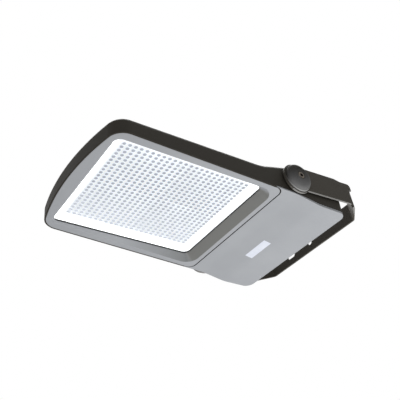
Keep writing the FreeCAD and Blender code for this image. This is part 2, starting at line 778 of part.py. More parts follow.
def pivots():
    head_seat = "(arm_inside + strip_thick + cap_floor)"
    for word, side in (("near", -1), ("far", 1)):
        pivot_cap(word, side)
        shank = side_rod("pivot_shank_" + word, side, "screw_radius", "boss_face - screw_grip",
                         head_seat + " + 1")
        head_low = "(%s + run_gap)" % head_seat
        head_high = head_low + " + screw_head_height"
        head = side_rod("pivot_head_" + word, side, "screw_head_radius", head_low, head_high, 2 * SCREW_SIDES)
        socket = side_rod("pivot_socket_" + word, side, "socket_radius", head_high + " - socket_depth",
                          head_high + " + socket_depth", 6)
        solid = fuse("pivot_solid_" + word, [shank, head])
        node("pivot_screw_" + word, cut("pivot_bolt_" + word, solid, [socket]))
        washer = side_rod("washer_disc_" + word, side, "boss_radius - washer_inset", "boss_face",
                          "arm_inside - run_gap", 2 * ROUND_SIDES)
        washer_hole = side_rod("washer_hole_" + word, side, "screw_radius + fit_gap", "boss_face - 1",
                               "arm_inside + 1", ROUND_SIDES)
        node("pivot_washer_" + word, cut("washer_" + word, washer, [washer_hole]))


def bracket():
    outside = "(arm_inside + strip_thick)"
    bend = "(0.41421356 * strip_thick)"
    bar_half = "(%s - corner_cut)" % outside
    bar_inside = "(%s - %s)" % (bar_half, bend)
    line = [("0", "-" + outside), ("bend_line", "-" + outside), ("pivot_reach", "-" + bar_half),
            ("pivot_reach", bar_half), ("bend_line", outside), ("0", outside),
            ("0", "arm_inside"), ("bend_line - " + bend, "arm_inside"),
            ("pivot_reach - strip_thick", bar_inside), ("pivot_reach - strip_thick", "-" + bar_inside),
            ("bend_line - " + bend, "-arm_inside"), ("0", "-arm_inside")]
    strip = prism("strip", "XY", line, "arm_top - bar_low", "bar_low")
    inner_reach = size("bend_line") - size("strip_thick")
    half = size("arm_inside")

    def inner_bend(edge):
        spot = edge.Vertexes[0]
        return upright(edge) and spot.X > inner_reach and abs(spot.Y) < half + 0.1 and not outer_bend(edge)

    def outer_bend(edge):
        spot = edge.Vertexes[0]
        on_arm = abs(abs(spot.Y) - half - size("strip_thick")) < 0.01
        return upright(edge) and spot.X > 1 and (on_arm or abs(spot.X - size("pivot_reach")) < 0.01)
    bent = rounded("strip_inner_bends", strip, size("bend_radius"), inner_bend)
    bent = rounded("strip_bends", bent, amount("bend_radius + strip_thick"), outer_bend)
    top_line = [("shoulder_start", "arm_top"), ("shoulder_start + shoulder_run", "shoulder"),
                ("bend_start", "shoulder"), ("bend_start", "bar_top"), ("2 * pivot_reach", "bar_top"),
                ("2 * pivot_reach", "2 * arm_top"), ("shoulder_start", "2 * arm_top")]
    low_line = [("-pivot_reach", "2 * bar_low"), ("bend_start", "2 * bar_low"),
                ("bend_start", "arm_low"), ("-pivot_reach", "arm_low")]
    above = prism("strip_above", "XZ", top_line, ACROSS)
    below = prism("strip_below", "XZ", low_line, ACROSS)
    below = rounded("strip_sweep", below, 0.9 * size("bar_drop"),
                    lambda edge: crosswise(edge, size("bend_start")) and edge.Vertexes[0].Z > size("bar_low"))
    bent = cut("strip_trimmed", bent, [above, below])
    ends = []
    holes = []
    for word, side in (("near", -1), ("far", 1)):
        ends.append(side_rod("arm_end_" + word, side, "arm_end_radius", "arm_inside", outside,
                             2 * ROUND_SIDES))
        holes.append(side_rod("arm_hole_" + word, side, "screw_radius + run_gap", "arm_inside - 1",
                              outside + " + 1"))
        tab_side = "arm_inside" if side > 0 else "-" + outside
        tab = block("tab_block_" + word, ("bend_start - strip_thick", tab_side, "bar_top + tab_gap"),
                    ("bend_line - bend_start + strip_thick + tab_reach", "strip_thick",
                     "shoulder - bar_top - tab_gap"))
        ends.append(rounded("tab_" + word, tab, size("tab_round"),
                            lambda edge: crosswise(edge, amount("bend_line + tab_reach"))
                            and edge.Vertexes[0].Z > size("shoulder") - 0.1))
    wall_hole = ("pivot_reach - 2 * strip_thick", "0", "-mount_drop")
    holes.append(rod("mount_hole", "X", "mount_hole_radius", "3 * strip_thick", wall_hole))
    straight = "(slot_length - 2 * slot_radius)"
    start = "pivot_reach - 2 * strip_thick"
    holes.append(block("slot", (start, "slot_side - %s / 2" % straight, "-mount_drop - slot_radius"),
                       ("3 * strip_thick", straight, "2 * slot_radius")))
    for word, sign in (("near", "-"), ("far", "+")):
        place = (start, "slot_side %s %s / 2" % (sign, straight), "-mount_drop")
        holes.append(rod("slot_" + word, "X", "slot_radius", "3 * strip_thick", place))
    node("yoke_bracket", cut("yoke", fuse("yoke_solid", [bent] + ends), holes), False)


housing()
front_frame()
glazing()
gear_cover()
cover_gasket()
reflector()
light_engine()
gear()
rear_fittings()
fasteners()
pivots()
bracket()

# The origin is on the bracket's mounting face, in the middle of its centre hole
PIVOT = Vector(-size("pivot_reach"), 0, size("mount_drop"))
TILT = Rotation(Vector(0, 1, 0), size("rest_tilt"))
doc.recompute()
for part, tilts in NODES.values():
    part.Placement = Placement(PIVOT, TILT if tilts else Rotation()).multiply(part.Placement)
doc.recompute()

for item in doc.Objects:
    if "Invalid" in item.State or "Error" in item.State:
        raise RuntimeError("%s did not build: %s" % (item.Name, item.State))
for label, (part, tilts) in NODES.items():
    if part.Shape.isNull() or not part.Shape.isValid() or not part.Shape.Solids:
        raise RuntimeError("%s has no valid solid" % label)

os.makedirs("parts", exist_ok=True)
for label, (part, tilts) in NODES.items():
    part.Shape.exportStep("parts/%s.step" % label)
    print("%-20s %3d solids %12.1f mm3" % (label, len(part.Shape.Solids), part.Shape.Volume))
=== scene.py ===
import json
import math

import bmesh
import bpy
from mathutils import Matrix, Vector
from mathutils.bvhtree import BVHTree


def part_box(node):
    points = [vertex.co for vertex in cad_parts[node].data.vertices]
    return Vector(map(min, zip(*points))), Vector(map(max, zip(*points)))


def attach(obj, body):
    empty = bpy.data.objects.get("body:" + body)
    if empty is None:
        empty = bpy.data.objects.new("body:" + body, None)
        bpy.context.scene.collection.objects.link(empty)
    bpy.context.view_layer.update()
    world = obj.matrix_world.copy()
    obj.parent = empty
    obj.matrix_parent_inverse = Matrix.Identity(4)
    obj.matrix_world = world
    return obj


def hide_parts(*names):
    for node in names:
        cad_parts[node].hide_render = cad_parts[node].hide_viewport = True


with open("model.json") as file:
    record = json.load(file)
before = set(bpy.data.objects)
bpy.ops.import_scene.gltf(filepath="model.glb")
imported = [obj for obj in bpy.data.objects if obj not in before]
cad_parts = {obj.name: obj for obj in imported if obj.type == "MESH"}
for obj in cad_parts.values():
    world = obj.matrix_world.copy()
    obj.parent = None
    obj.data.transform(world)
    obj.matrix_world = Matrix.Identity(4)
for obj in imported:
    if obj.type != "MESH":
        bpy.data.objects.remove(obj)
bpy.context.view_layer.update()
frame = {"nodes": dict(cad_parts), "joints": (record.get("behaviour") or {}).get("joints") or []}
nodes = frame["nodes"]
print("frame loaded,", len(nodes), "nodes")

mm = 0.001
weld = 1e-6  # metres: points nearer to each other than this are one
headTilt = 3.5  # degrees, as the light hangs at rest
pivot = frame["joints"][0]["pos_m"]
headMatrix = Matrix.Translation(pivot) @ Matrix.Rotation(math.radians(headTilt), 4, "Y")


def corners(spots):
    # lowest and highest corner of the box round some points
    return [Vector([pick(spot[axis] for spot in spots) for axis in range(3)]) for pick in (min, max)]


def headBox(nodeName):
    # the corners of a node in the untilted head, in metres
    untilt = headMatrix.inverted()
    return corners([untilt @ vert.co for vert in nodes[nodeName].data.vertices])


# Node helpers

rising = (0.0, 1.0)
falling = (1.0, 0.0)
noiseSpan = (0.3, 0.7)  # where most values of a noise lie
bumpDistance = 0.4  # mm


def startMaterial(name):
    material = bpy.data.materials.new(name)
    material.use_nodes = True
    tree = material.node_tree
    return material, tree, tree.nodes["Principled BSDF"]


def mathNode(tree, operation, *values):
    node = tree.nodes.new("ShaderNodeMath")
    node.operation = operation
    for socket, value in zip(node.inputs, values):
        tree.links.new(value, socket)
    return node.outputs[0]


def mapRange(tree, value, span, ends=rising):
    # goes from one end to the other while the value crosses the span
    ranger = tree.nodes.new("ShaderNodeMapRange")
    for label, number in zip(("From Min", "From Max", "To Min", "To Max"), (*span, *ends)):
        ranger.inputs[label].default_value = number
    tree.links.new(value, ranger.inputs["Value"])
    return ranger.outputs["Result"]


def splitParts(tree, vector):
    split = tree.nodes.new("ShaderNodeSeparateXYZ")
    tree.links.new(vector, split.inputs[0])
    return split.outputs


def ownPlace(tree):
    # the point's place in the piece's own space
    place = tree.nodes.new("ShaderNodeTexCoord")
    return splitParts(tree, place.outputs["Object"])


def ownNormal(tree, kind="True Normal"):
    # the surface's normal in the piece's own space, so that it stays the same when the head tilts
    shape = tree.nodes.new("ShaderNodeNewGeometry")
    turn = tree.nodes.new("ShaderNodeVectorTransform")
    turn.vector_type = "NORMAL"
    turn.convert_from = "WORLD"
    turn.convert_to = "OBJECT"
    tree.links.new(shape.outputs[kind], turn.inputs[0])
    return splitParts(tree, turn.outputs[0])


def blendColours(tree, factor, first, second):
    # each colour is three numbers or another node's output
    mix = tree.nodes.new("ShaderNodeMix")
    mix.data_type = "RGBA"
    for socket, colour in (("A", first), ("B", second)):
        if isinstance(colour, tuple):
            mix.inputs[socket].default_value = (*colour, 1)
        else:
            tree.links.new(colour, mix.inputs[socket])
    tree.links.new(factor, mix.inputs["Factor"])
    return mix.outputs["Result"]


def tint(tree, shader, mask, shade):
    # lays a shade over the base colour where the mask is one
    base = shader.inputs["Base Color"]
    tree.links.new(blendColours(tree, mask, base.links[0].from_socket, shade), base)


def addBump(tree, shader, height, strength, normal=None):
    bump = tree.nodes.new("ShaderNodeBump")
    bump.inputs["Strength"].default_value = strength
    bump.inputs["Distance"].default_value = bumpDistance * mm
    tree.links.new(height, bump.inputs["Height"])
    if normal:
        tree.links.new(normal, bump.inputs["Normal"])
    tree.links.new(bump.outputs["Normal"], shader.inputs["Normal"])


# Camera and studio, in metres and degrees

studio = {
    "cameraPlace": (-1.01479, -0.8441, -0.6829),
    "cameraTurn": (123.7934, 8.7305, -34.1485),
    "lens": 56.7,
    "sensor": 36,
    "shift": 0.002,
    "farthest": 50,
    "lampAim": (-0.33, 0, 0),
    "floorPlace": (-0.3, 0, -2.0),
    "floorSize": 16.0,
    "floorColour": (0.85, 0.85, 0.85),
    "floorRough": 0.9,
    "skyLevel": 0.2,
    "whiteLevel": 1.0,
}
lamps = [
    {"name": "keyLamp", "place": (0.12, -0.15, -1.43), "size": 0.9, "power": 19},
    {"name": "fillLamp", "place": (-1.2, -1.5, 0.1), "size": 1.2, "power": 5},
    {"name": "backLamp", "place": (0.2, 0.5, 1.4), "size": 1.6, "power": 60},
]


def setUpCamera():
    camera = bpy.data.cameras.new("viewCamera")
    camera.lens = studio["lens"]
    camera.sensor_width = studio["sensor"]
    camera.shift_x = studio["shift"]
    camera.clip_end = studio["farthest"]
    holder = bpy.data.objects.new("viewCamera", camera)
    holder.location = studio["cameraPlace"]
    holder.rotation_euler = [math.radians(angle) for angle in studio["cameraTurn"]]
    bpy.context.scene.collection.objects.link(holder)
    bpy.context.scene.camera = holder


def setUpWorld():
    # white where the camera sees it, also in gloss and through glass, and a dim sky as light
    world = bpy.data.worlds.new("studioWorld")
    bpy.context.scene.world = world
    world.use_nodes = True
    tree = world.node_tree
    tree.nodes.clear()
    path = tree.nodes.new("ShaderNodeLightPath")
    seen = mathNode(tree, "MAXIMUM", path.outputs["Is Camera Ray"], path.outputs["Is Glossy Ray"])
    seen = mathNode(tree, "MAXIMUM", seen, path.outputs["Is Transmission Ray"])
    mix = tree.nodes.new("ShaderNodeMixShader")
    tree.links.new(seen, mix.inputs[0])
    for socket, level in ((1, "skyLevel"), (2, "whiteLevel")):
        sky = tree.nodes.new("ShaderNodeBackground")
        sky.inputs["Color"].default_value = (1, 1, 1, 1)
        sky.inputs["Strength"].default_value = studio[level]
        tree.links.new(sky.outputs[0], mix.inputs[socket])
    out = tree.nodes.new("ShaderNodeOutputWorld")
    tree.links.new(mix.outputs[0], out.inputs["Surface"])


def setUpLamps():
    aim = Vector(studio["lampAim"])
    for lamp in lamps:
        data = bpy.data.lights.new(lamp["name"], "AREA")
        data.size = lamp["size"]
        data.energy = lamp["power"]
        holder = bpy.data.objects.new(lamp["name"], data)
        holder.location = lamp["place"]
        holder.rotation_euler = (aim - Vector(lamp["place"])).to_track_quat("-Z", "Y").to_euler()
        bpy.context.scene.collection.objects.link(holder)


def setUpFloor():
    bm = bmesh.new()
    bmesh.ops.create_grid(bm, x_segments=1, y_segments=1, size=studio["floorSize"] / 2)
    bmesh.ops.translate(bm, vec=studio["floorPlace"], verts=bm.verts)
    mesh = bpy.data.meshes.new("studioFloor")
    bm.to_mesh(mesh)
    bm.free()
    floor = bpy.data.objects.new("studioFloor", mesh)
    bpy.context.scene.collection.objects.link(floor)
    material, tree, shader = startMaterial("floorPaint")
    shader.inputs["Base Color"].default_value = (*studio["floorColour"], 1)
    shader.inputs["Roughness"].default_value = studio["floorRough"]
    mesh.materials.append(material)


setUpCamera()
setUpWorld()
setUpLamps()
setUpFloor()
bpy.context.scene.view_settings.view_transform = "Standard"
print("camera, world, lamps and floor set up")


# Shared shader groups

coatNoises = {
    "Grain": {"scale": 900.0, "detail": 2.0},
    "Patches": {"scale": 14.0, "detail": 3.0},
    "Specks": {"scale": 240.0, "detail": 4.0, "span": (0.62, 0.72)},
}
softEdges = {"radius": 1.0, "samples": 6, "facing": (0.8, 0.98)}


def newGroup(name, inputs, outputs):
    group = bpy.data.node_groups.new(name, "ShaderNodeTree")
    for label, value in inputs.items():
        socket = group.interface.new_socket(name=label, in_out="INPUT", socket_type="NodeSocketFloat")
        socket.default_value = value
    for label, kind in outputs.items():
        group.interface.new_socket(name=label, in_out="OUTPUT", socket_type="NodeSocket" + kind)
    start = group.nodes.new("NodeGroupInput")
    end = group.nodes.new("NodeGroupOutput")
    return group, start, end


def useGroup(tree, group, values):
    holder = tree.nodes.new("ShaderNodeGroup")
    holder.node_tree = group
    for label, value in values.items():
        holder.inputs[label].default_value = value
    return holder.outputs


def makeCoatGroup():
    # fine orange-peel grain of a powder coat, broad uneven patches and a few small specks
    scales = {label + " Scale": look["scale"] for label, look in coatNoises.items()}
    group, start, end = newGroup("coatGrain", scales, dict.fromkeys(coatNoises, "Float"))
    place = group.nodes.new("ShaderNodeTexCoord")
    for label, look in coatNoises.items():
        noise = group.nodes.new("ShaderNodeTexNoise")
        noise.inputs["Detail"].default_value = look["detail"]
        group.links.new(place.outputs["Object"], noise.inputs["Vector"])
        group.links.new(start.outputs[label + " Scale"], noise.inputs["Scale"])
        value = noise.outputs["Fac"]
        if "span" in look:
            value = mapRange(group, value, look["span"])
        group.links.new(value, end.inputs[label])
    return group


def makeEdgeGroup():
    # normals that turn softly round sharp edges, and a mask of those edges
    group, start, end = newGroup("softEdges", {"Radius": softEdges["radius"] * mm},
                                 {"Normal": "Vector", "Edge": "Float"})
    bevel = group.nodes.new("ShaderNodeBevel")
    bevel.samples = softEdges["samples"]
    group.links.new(start.outputs["Radius"], bevel.inputs["Radius"])
    shape = group.nodes.new("ShaderNodeNewGeometry")
    facing = group.nodes.new("ShaderNodeVectorMath")
    facing.operation = "DOT_PRODUCT"
    group.links.new(bevel.outputs["Normal"], facing.inputs[0])
    group.links.new(shape.outputs["Normal"], facing.inputs[1])
    group.links.new(bevel.outputs["Normal"], end.inputs["Normal"])
    edge = mapRange(group, facing.outputs["Value"], softEdges["facing"], falling)
    group.links.new(edge, end.inputs["Edge"])
    return group


coatGroup = makeCoatGroup()
edgeGroup = makeEdgeGroup()


# Coats, rubber, nylon and steel

coatLooks = {
    "housingCoat": {"dark": (0.031, 0.0277, 0.0217), "light": (0.039, 0.0348, 0.0282),
                    "worn": (0.06, 0.058, 0.052), "rough": (0.58, 0.68), "shine": 0.16, "grain": 950.0,
                    "patches": 9.0, "bump": 0.18, "edge": 1.0, "specks": 0.12, "wear": 0.35},
    "blackRubber": {"dark": (0.012, 0.012, 0.012), "light": (0.02, 0.02, 0.02), "worn": (0.04, 0.04, 0.04),
                    "rough": (0.7, 0.85), "shine": 0.2, "grain": 1400.0, "patches": 60.0, "bump": 0.2,
                    "edge": 0.3, "specks": 0.2, "wear": 0.1},
    "blackNylon": {"dark": (0.014, 0.014, 0.014), "light": (0.022, 0.022, 0.022), "worn": (0.05, 0.05, 0.05),
                   "rough": (0.4, 0.5), "shine": 0.35, "grain": 1600.0, "patches": 60.0, "bump": 0.12,
                   "edge": 0.4, "specks": 0.15, "wear": 0.3},
    "zincSteel": {"dark": (0.42, 0.42, 0.43), "light": (0.55, 0.55, 0.56), "worn": (0.62, 0.62, 0.62),
                  "rough": (0.28, 0.4), "metal": 1.0, "grain": 1500.0, "patches": 80.0, "bump": 0.06,
                  "edge": 0.3, "specks": 0.2, "wear": 0.4},
    "darkSteel": {"dark": (0.085, 0.07, 0.055), "light": (0.13, 0.11, 0.09), "worn": (0.3, 0.28, 0.25),
                  "rough": (0.34, 0.46), "metal": 0.8, "grain": 1500.0, "patches": 90.0, "bump": 0.08,
                  "edge": 0.4, "specks": 0.3, "wear": 0.5},
    "pottedCase": {"dark": (0.58, 0.58, 0.56), "light": (0.66, 0.66, 0.63), "worn": (0.7, 0.7, 0.68),
                   "rough": (0.5, 0.6), "grain": 900.0, "patches": 30.0, "bump": 0.08,
                   "edge": 0.5, "specks": 0.1, "wear": 0.2},
    "plateFilm": {"dark": (0.66, 0.69, 0.78), "light": (0.72, 0.75, 0.82), "worn": (0.6, 0.62, 0.68),
                  "rough": (0.35, 0.42), "grain": 700.0, "patches": 40.0, "bump": 0.04,
                  "edge": 0.3, "specks": 0.2, "wear": 0.2},
}


def coatedMaterial(name, look):
    material, tree, shader = startMaterial(name)
    coat = useGroup(tree, coatGroup, {"Grain Scale": look["grain"], "Patches Scale": look["patches"]})
    edges = useGroup(tree, edgeGroup, {"Radius": look["edge"] * mm})
    patches = mapRange(tree, coat["Patches"], noiseSpan)
    tree.links.new(blendColours(tree, patches, look["dark"], look["light"]), shader.inputs["Base Color"])
    for mask, most in ((coat["Specks"], look["specks"]), (edges["Edge"], look["wear"])):
        tint(tree, shader, mapRange(tree, mask, rising, (0.0, most)), look["worn"])
    tree.links.new(mapRange(tree, coat["Patches"], noiseSpan, look["rough"]), shader.inputs["Roughness"])
    shader.inputs["Metallic"].default_value = look.get("metal", 0.0)
    shader.inputs["Specular IOR Level"].default_value = look.get("shine", 0.5)
    addBump(tree, shader, coat["Grain"], look["bump"], edges["Normal"])
    return material, tree, shader


finish = {}
for coatName, coatLook in coatLooks.items():
    finish[coatName] = coatedMaterial(coatName, coatLook)[0]


# Pale coat of the frame and the cover, with painted shades: spans of the normal, or of the place in metres

paleLook = {"dark": (0.338, 0.35, 0.37), "light": (0.362, 0.374, 0.392), "worn": (0.42, 0.43, 0.44),
            "rough": (0.42, 0.5), "shine": 0.3, "grain": 1100.0, "patches": 11.0, "bump": 0.08,
            "edge": 1.6, "specks": 0.1, "wear": 0.3}
frameShades = {"rear": (0.215, 0.216, 0.207), "rearNormalX": (-0.6, -0.45),
               "far": (0.185, 0.192, 0.195), "farNormalY": (-0.55, -0.35), "farNormalZ": (-0.6, -0.4),
               "farPlaceX": (-0.42, -0.25)}
coverShades = {"front": (0.03, 0.03, 0.03), "frontNormalX": (-0.9, -0.6)}


def frameMaterial():
    # darker on the inner slope at the rear, and on the far one towards the rear
    material, tree, shader = coatedMaterial("frameCoat", paleLook)
    normal = ownNormal(tree)
    far = mapRange(tree, ownPlace(tree)["X"], frameShades["farPlaceX"])
    for axis in "YZ":
        far = mathNode(tree, "MULTIPLY", far,
                       mapRange(tree, normal[axis], frameShades["farNormal" + axis], falling))
    tint(tree, shader, far, frameShades["far"])
    tint(tree, shader, mapRange(tree, normal["X"], frameShades["rearNormalX"], falling), frameShades["rear"])
    return material


def coverMaterial():
    # dark on the faces that look towards the front of the head
    material, tree, shader = coatedMaterial("coverCoat", paleLook)
    front = mapRange(tree, ownNormal(tree)["X"], coverShades["frontNormalX"], falling)
    tint(tree, shader, front, coverShades["front"])
    return material


finish["frameCoat"] = frameMaterial()
finish["coverCoat"] = coverMaterial()


# Coats of the bracket and its caps, with painted highlights and painted light

bracketLook = dict(coatLooks["housingCoat"], dark=(0.07, 0.0635, 0.0535), light=(0.084, 0.0765, 0.0645),
                   shine=0.12)
# painted highlight: a pale colour on the arms' lower edges, on the faces that look down
bracketEdgeHighlight = {"edge": (0.25, 0.245, 0.235), "edgeNormalZ": (-0.875, -0.75), "edgeSide": (0.150, 0.166)}
capLook = {"dark": (0.024, 0.0215, 0.0168), "light": (0.03, 0.0268, 0.0216), "worn": (0.05, 0.048, 0.043),
           "rough": (0.55, 0.65), "shine": 0.03, "grain": 1100.0, "patches": 30.0, "bump": 0.08,
           "edge": 0.8, "specks": 0.12, "wear": 0.3}
# painted light on the caps: a lit grey on the lower dome, and a painted highlight where the rim looks down
capPaintedLight = {"dome": (0.16, 0.16, 0.16), "domePlaceZ": (-0.006, 0.032),
             "rim": (0.42, 0.42, 0.41), "rimNormalZ": (-0.7, -0.1)}


def bracketMaterial():
    # a lighter coat than the housing's, with a thin painted highlight along the arms' lower edges, where the
    # light from below falls
    material, tree, shader = coatedMaterial("bracketCoat", bracketLook)
    down = mapRange(tree, ownNormal(tree)["Z"], bracketEdgeHighlight["edgeNormalZ"], falling)
    side = mathNode(tree, "ABSOLUTE", ownPlace(tree)["Y"])
    onArm = mapRange(tree, side, bracketEdgeHighlight["edgeSide"])
    tint(tree, shader, mathNode(tree, "MULTIPLY", down, onArm), bracketEdgeHighlight["edge"])
    return material


def capDomePaintedLightMaterial():
    # painted light: dark at the top, with a lit plain grey painted further down, where the light from below
    # falls
    material, tree, shader = coatedMaterial("capDomePaintedLight", capLook)
    lower = mapRange(tree, ownPlace(tree)["Z"], capPaintedLight["domePlaceZ"], falling)
    tint(tree, shader, lower, capPaintedLight["dome"])
    return material


def capRimHighlightMaterial():
    # painted highlight: pale where the rim looks down towards the light below
    material, tree, shader = coatedMaterial("capRimHighlight", capLook)
    lower = mapRange(tree, ownNormal(tree, "Normal")["Z"], capPaintedLight["rimNormalZ"], falling)
    tint(tree, shader, lower, capPaintedLight["rim"])
    return material


finish["bracketCoat"] = bracketMaterial()
finish["capDomePaintedLight"] = capDomePaintedLightMaterial()
finish["capRimHighlight"] = capRimHighlightMaterial()


# Glass and lit surfaces

glassLook = {"colour": (0.97, 0.985, 0.985), "rough": (0.0, 0.03), "patches": 6.0, "clear": 1.0, "bend": 1.45}
litLooks = {
    "lensSheet": {"dark": (0.28, 0.29, 0.31), "light": (0.32, 0.33, 0.35), "glowNear": (0.935, 0.96, 1.0),
                  "glowFar": (0.87, 0.895, 0.95), "strength": 0.78, "rough": 0.35, "grain": 600.0,
                  "patches": 40.0},
    "lensDome": {"dark": (0.10, 0.105, 0.12), "light": (0.13, 0.135, 0.15), "glowNear": (0.36, 0.385, 0.445),
                 "glowFar": (0.69, 0.72, 0.79), "glowRim": (0.72, 0.75, 0.82), "strength": 0.85,
                 "rough": 0.25, "grain": 600.0, "patches": 40.0},
    # the reflector tray and the boards are no lamps: their glow is painted light from the light sources
    "reflectorWhitePaintedGlow": {"dark": (0.9, 0.9, 0.9), "light": (0.94, 0.94, 0.94), "glowNear": (1.0, 1.0, 1.0),
                       "glowFar": (1.0, 1.0, 1.0), "strength": 0.95, "rough": 0.5, "grain": 700.0,
                       "patches": 20.0},
}
litSpans = {"farPlaceY": (0.0, 0.12), "rimNormalZ": (-0.95, -0.45)}
litBump = 0.05


def glassMaterial():
    material, tree, shader = startMaterial("frontGlass")
    coat = useGroup(tree, coatGroup, {"Patches Scale": glassLook["patches"]})
    rough = mapRange(tree, coat["Patches"], noiseSpan, glassLook["rough"])
    tree.links.new(rough, shader.inputs["Roughness"])
    shader.inputs["Base Color"].default_value = (*glassLook["colour"], 1)
    shader.inputs["Transmission Weight"].default_value = glassLook["clear"]
    shader.inputs["IOR"].default_value = glassLook["bend"]
    return material


def litMaterial(name, look):
    # a surface lit by the light source, with another glow towards the far side
    material, tree, shader = startMaterial(name)
    coat = useGroup(tree, coatGroup, {"Grain Scale": look["grain"], "Patches Scale": look["patches"]})
    patches = mapRange(tree, coat["Patches"], noiseSpan)
    tree.links.new(blendColours(tree, patches, look["dark"], look["light"]), shader.inputs["Base Color"])
    far = mapRange(tree, ownPlace(tree)["Y"], litSpans["farPlaceY"])
    glow = blendColours(tree, far, look["glowNear"], look["glowFar"])
    if "glowRim" in look:
        rim = mapRange(tree, ownNormal(tree, "Normal")["Z"], litSpans["rimNormalZ"])
        glow = blendColours(tree, rim, glow, look["glowRim"])
    tree.links.new(glow, shader.inputs["Emission Color"])
    shader.inputs["Emission Strength"].default_value = look["strength"]
    shader.inputs["Roughness"].default_value = look["rough"]
    addBump(tree, shader, coat["Grain"], litBump)
    return material


finish["frontGlass"] = glassMaterial()
for litName, litLook in litLooks.items():
    finish[litName] = litMaterial(litName, litLook)


# Finish of each node

finishNodes = {
    "housingCoat": ["rear_housing"],
    "frameCoat": ["front_frame"],
    "coverCoat": ["gear_cover"],
    "frontGlass": ["front_glass"],
    "bracketCoat": ["yoke_bracket"],
    "capDomePaintedLight": ["pivot_cap_near", "pivot_cap_far"],
    "reflectorWhitePaintedGlow": ["reflector_tray", "led_board_1", "led_board_2", "led_board_3", "led_board_4"],
    "lensSheet": ["lens_plate_1", "lens_plate_2", "lens_plate_3", "lens_plate_4"],
    "blackRubber": ["glass_gasket", "frame_gasket", "cover_gasket", "gland_seal", "lead_grommet"],
    "blackNylon": ["cable_gland", "gland_nut", "gland_locknut", "breather_vent", "pivot_washer_near",
                   "pivot_washer_far"],
    "zincSteel": ["gear_tray", "frame_screws", "cover_screws"],
    "darkSteel": ["pivot_screw_near", "pivot_screw_far"],
    "pottedCase": ["led_driver", "terminal_block", "surge_protector"],
}
for finishName, nodeNames in finishNodes.items():
    for nodeName in nodeNames:
        nodes[nodeName].data.materials.clear()
        nodes[nodeName].data.materials.append(finish[finishName])
print("materials made,", len(finish))


# Making pieces

def finishPiece(name, bm, materials, body, smoothAngle):
    bmesh.ops.recalc_face_normals(bm, faces=bm.faces)
    mesh = bpy.data.meshes.new(name)
    bm.to_mesh(mesh)
    bm.free()
    for material in materials:
        mesh.materials.append(finish[material])
    for polygon in mesh.polygons:
        polygon.use_smooth = True
    mesh.set_sharp_from_angle(angle=math.radians(smoothAngle))
    piece = bpy.data.objects.new(name, mesh)
    bpy.context.scene.collection.objects.link(piece)
    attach(piece, body)
    return piece


def spinProfile(bm, profile, axis, steps):
    # profile of radius and height pairs, turned about the axis through the origin
    side = Vector(axis).orthogonal().normalized()
    along = Vector(axis).normalized()
    spots = [bm.verts.new(side * radius + along * height) for radius, height in profile]
    edges = [bm.edges.new(pair) for pair in zip(spots, spots[1:])]
    bmesh.ops.spin(bm, geom=spots + edges, cent=(0, 0, 0), axis=along, angle=math.tau, steps=steps,
                   use_merge=True)
    bmesh.ops.remove_doubles(bm, verts=bm.verts, dist=weld)


def addDrum(bm, turns, radius, low, length):
    # a closed drum that stands along Z on its low end
    made = bmesh.ops.create_cone(bm, cap_ends=True, cap_tris=False, segments=turns, radius1=radius,
                                 radius2=radius, depth=length)
    bmesh.ops.translate(bm, vec=(0, 0, low + length / 2), verts=made["verts"])


def roundEdges(bm, edges, offset, segments):
    return bmesh.ops.bevel(bm, geom=edges, offset=offset, affect="EDGES", segments=segments, profile=0.5,
                           material=-1)


def atHeight(parts, height):
    # the edges or faces that lie flat at this height
    return [part for part in parts if all(abs(vert.co.z - height) < weld for vert in part.verts)]


def vertsOf(parts):
    return [part for part in parts if isinstance(part, bmesh.types.BMVert)]


# Lens sheets: a moulded block with a flat lens over each light source

lensSheets = {
    "perSide": 12,
    "pitch": (11.85, 10.07),
    "first": (-357.4, -115.8),  # the lens nearest to the front and the near side
    "gap": 0.2,
    "thick": 11.3,
    "edge": 0.3,
    "drop": 7.0,  # from the lower face of the solid sheet to that of the lenses
    "lensRadius": 3.75,
    "lensTurns": 10,
    "lensProfile": ((1.0, 0.0), (0.93, 0.45), (0.62, 0.85), (0.0, 1.0)),  # shares of radius and height
    "smooth": 60,
}


